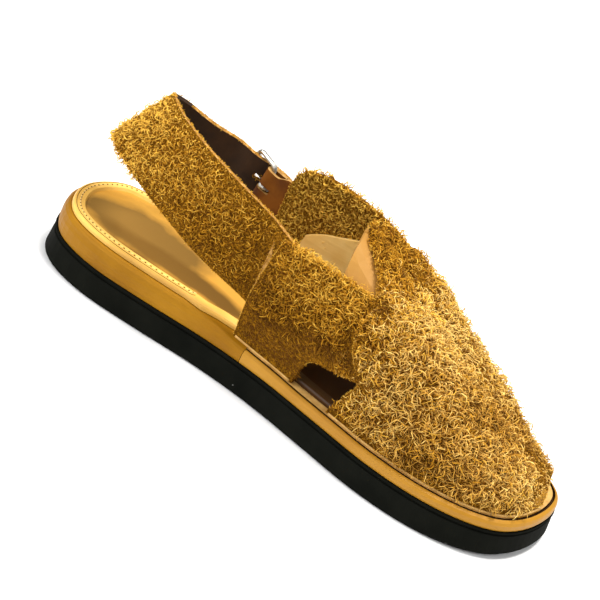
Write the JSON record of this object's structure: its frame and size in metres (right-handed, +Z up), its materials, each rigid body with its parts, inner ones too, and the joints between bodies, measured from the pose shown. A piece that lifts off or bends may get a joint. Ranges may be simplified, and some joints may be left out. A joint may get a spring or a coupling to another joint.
{
  "type": "peshawari chappal",
  "caption": "A right peshawari chappal of shaggy golden-brown suede with crossed bands, a buckled heel strap, a tan leather midsole and a thick black rubber sole",
  "frame": {"origin": "centre of the shoe's outline, at the ground", "axes": "X from heel to toe, Y to the inner side of the foot, Z up"},
  "size_m": [0.2903, 0.0997, 0.0998],
  "materials": {
    "black_rubber": "satin moulded rubber",
    "heel_wedge_leather": "smooth tan, semi-gloss",
    "welt_midsole_leather": "smooth tan, semi-gloss",
    "insole_leather": "smooth tan, worn",
    "shaggy_suede": "long-haired golden-brown suede",
    "smooth_tan_leather": "smooth light tan",
    "shaggy_suede_strap": "long-haired golden-brown suede",
    "smooth_tan_leather_chape": "smooth light tan",
    "dull_steel_frame": "dull wire",
    "dull_steel_prong": "dull wire"
  },
  "bodies": {
    "root": {"outsole": "black_rubber", "heel_wedge": "heel_wedge_leather", "welt_midsole": "welt_midsole_leather", "insole": "insole_leather", "upper": "shaggy_suede", "tongue": "smooth_tan_leather", "heel_strap": "shaggy_suede_strap", "buckle_chape": "smooth_tan_leather_chape", "buckle_frame": "dull_steel_frame", "buckle_prong": "dull_steel_prong"}
  },
  "joints": []
}
